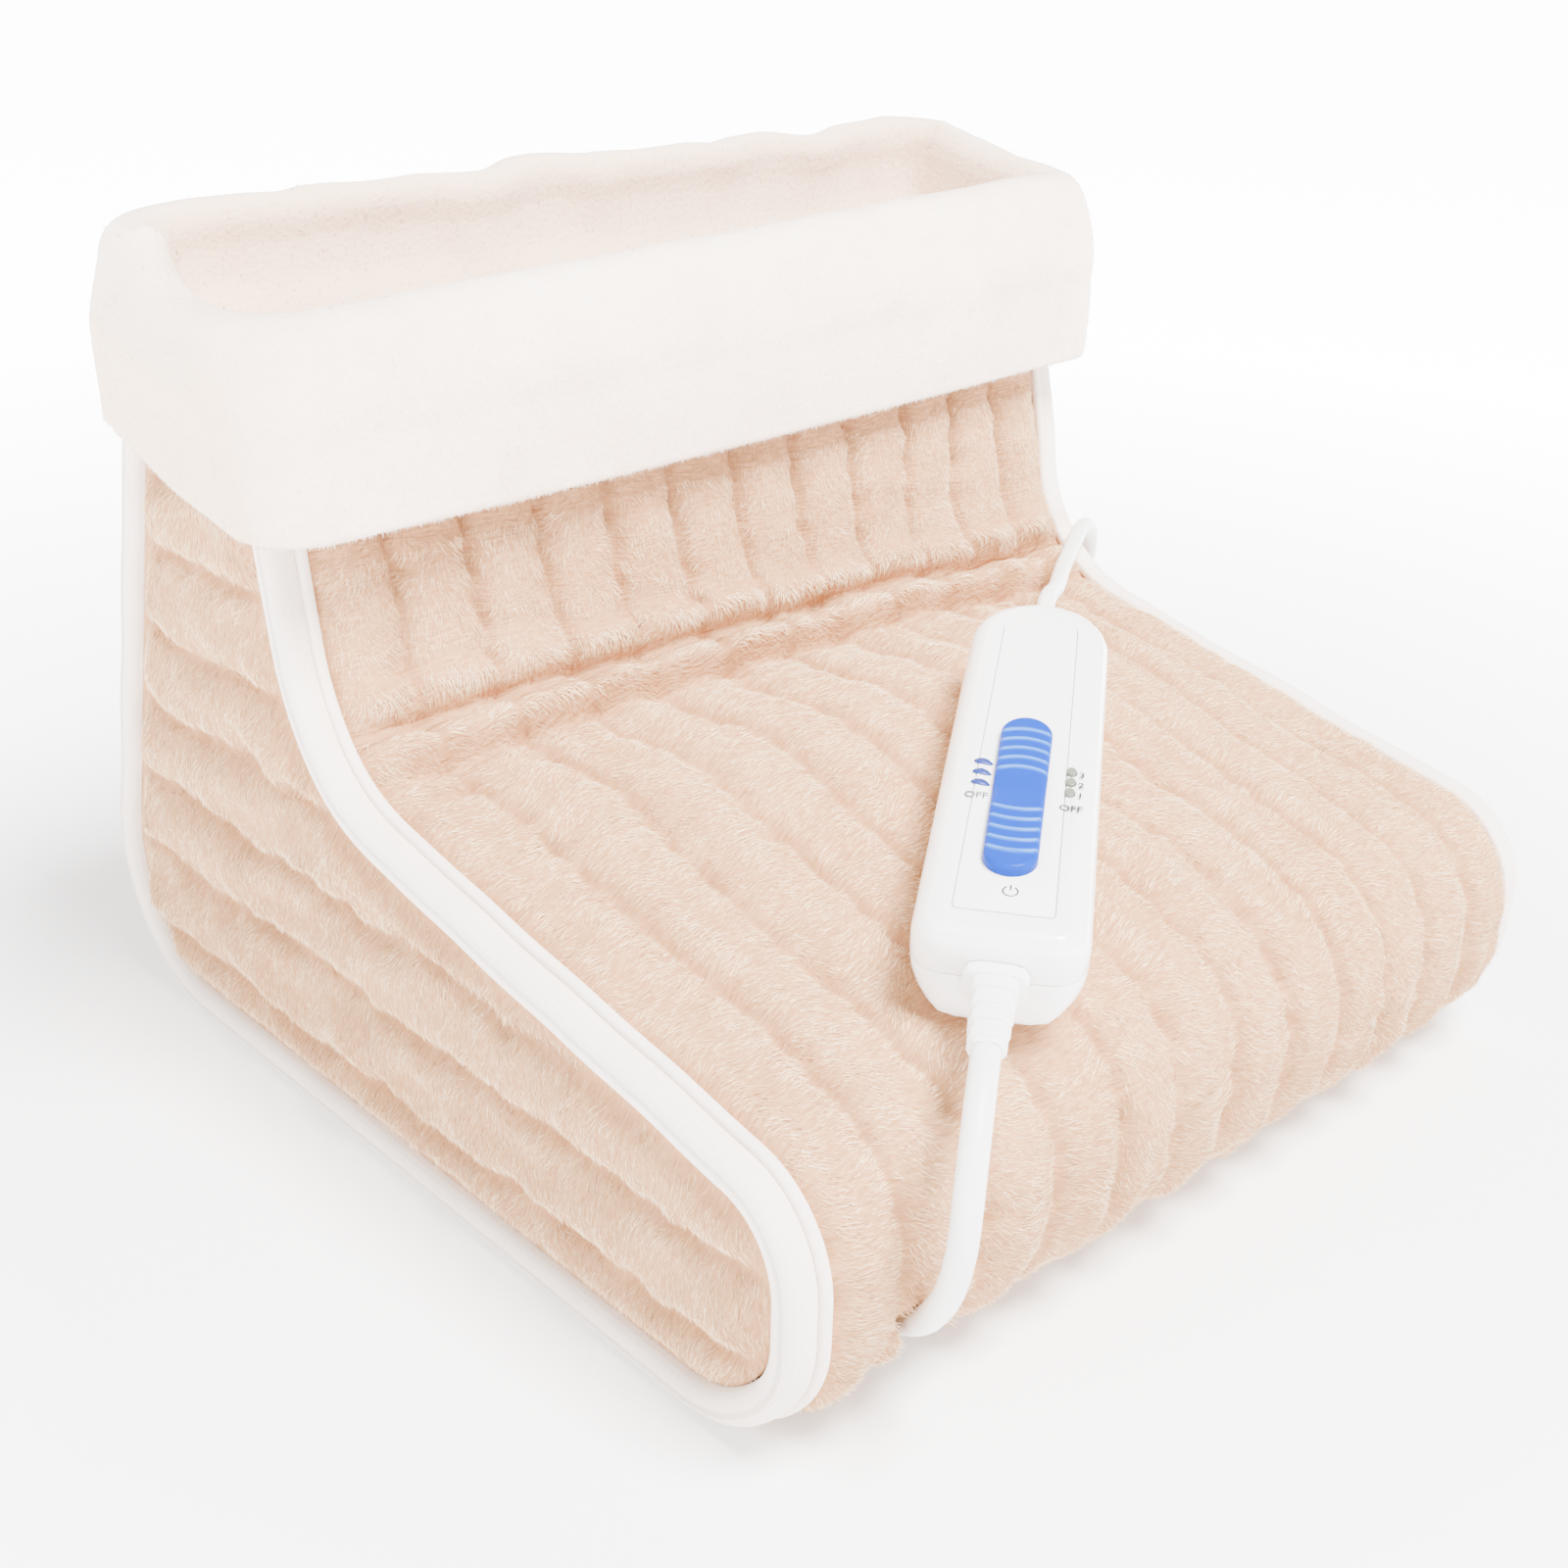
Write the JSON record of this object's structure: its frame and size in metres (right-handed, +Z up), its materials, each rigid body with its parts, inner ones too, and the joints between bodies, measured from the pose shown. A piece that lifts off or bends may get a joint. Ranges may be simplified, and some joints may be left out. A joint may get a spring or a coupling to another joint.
{
  "type": "electric foot warmer",
  "caption": "Quilted fleece boot for both feet with a turned-down plush cuff, a heated sole, a slide-switch hand control and its mains lead.",
  "frame": {"origin": "on the floor under the middle of the boot", "axes": "+X across the boot to the wearer's left, -Y towards the toe, +Z up"},
  "size_m": [0.4239, 0.4513, 0.2475],
  "materials": {
    "outer_fleece": "quilted fleece with a short pile",
    "plush": "deep cream plush",
    "tape": "rounded woven edge tape",
    "insole_foam": "open foam sheet",
    "heater_cloth": "thin non-woven cloth",
    "heating_wire": "smooth insulation",
    "thermostat": "moulded",
    "fuse": "drawn can",
    "white_moulding": "smooth moulded",
    "housing": "glossy moulded",
    "face_plate": "satin moulded",
    "slider_blue": "glossy moulded",
    "lens": "smooth",
    "board": "solder resist",
    "black_component": "moulded",
    "screw_steel": "zinc plated",
    "cord_sheath": "smooth extruded",
    "tie": "smooth",
    "pin": "nickel plated"
  },
  "bodies": {
    "root": {"side_panel_left": "outer_fleece", "side_panel_right": "outer_fleece", "shaft_front_panel": "outer_fleece", "instep_panel": "outer_fleece", "sole_panel": "outer_fleece", "back_panel": "outer_fleece", "binding_left": "tape", "binding_right": "tape", "lining_side_left": "plush", "lining_side_right": "plush", "lining_front": "plush", "lining_instep": "plush", "lining_sole": "plush", "lining_back": "plush", "cuff": "plush", "foam_insole": "insole_foam", "heater_cloth": "heater_cloth", "heating_wire": "heating_wire", "overheat_thermostat": "thermostat", "thermal_fuse": "fuse", "wire_junction": "white_moulding", "lead_gland": "white_moulding", "control_upper_shell": "housing", "control_lower_shell": "housing", "face_plate": "face_plate", "indicator_lens_1": "lens", "indicator_lens_2": "lens", "indicator_lens_3": "lens", "circuit_board": "board", "slide_switch": "black_component", "capacitor": "black_component", "triac": "black_component", "terminal_block": "black_component", "board_screw_1": "screw_steel", "board_screw_2": "screw_steel", "mains_strain_relief": "white_moulding", "lead_strain_relief": "white_moulding", "pad_lead": "cord_sheath", "mains_lead": "cord_sheath", "mains_coil": "cord_sheath", "mains_tail": "cord_sheath", "coil_tie": "tie", "plug_body": "white_moulding", "plug_pin_1": "pin", "plug_pin_2": "pin"},
    "slider": {"slider_knob": "slider_blue", "slider_carrier": "white_moulding"}
  },
  "joints": [
    {"name": "heat_slide", "type": "slide", "parent": "root", "child": "slider", "axis": [0.7811, 0.5972, 0.1822], "range_m": [0, 0.0135]}
  ]
}
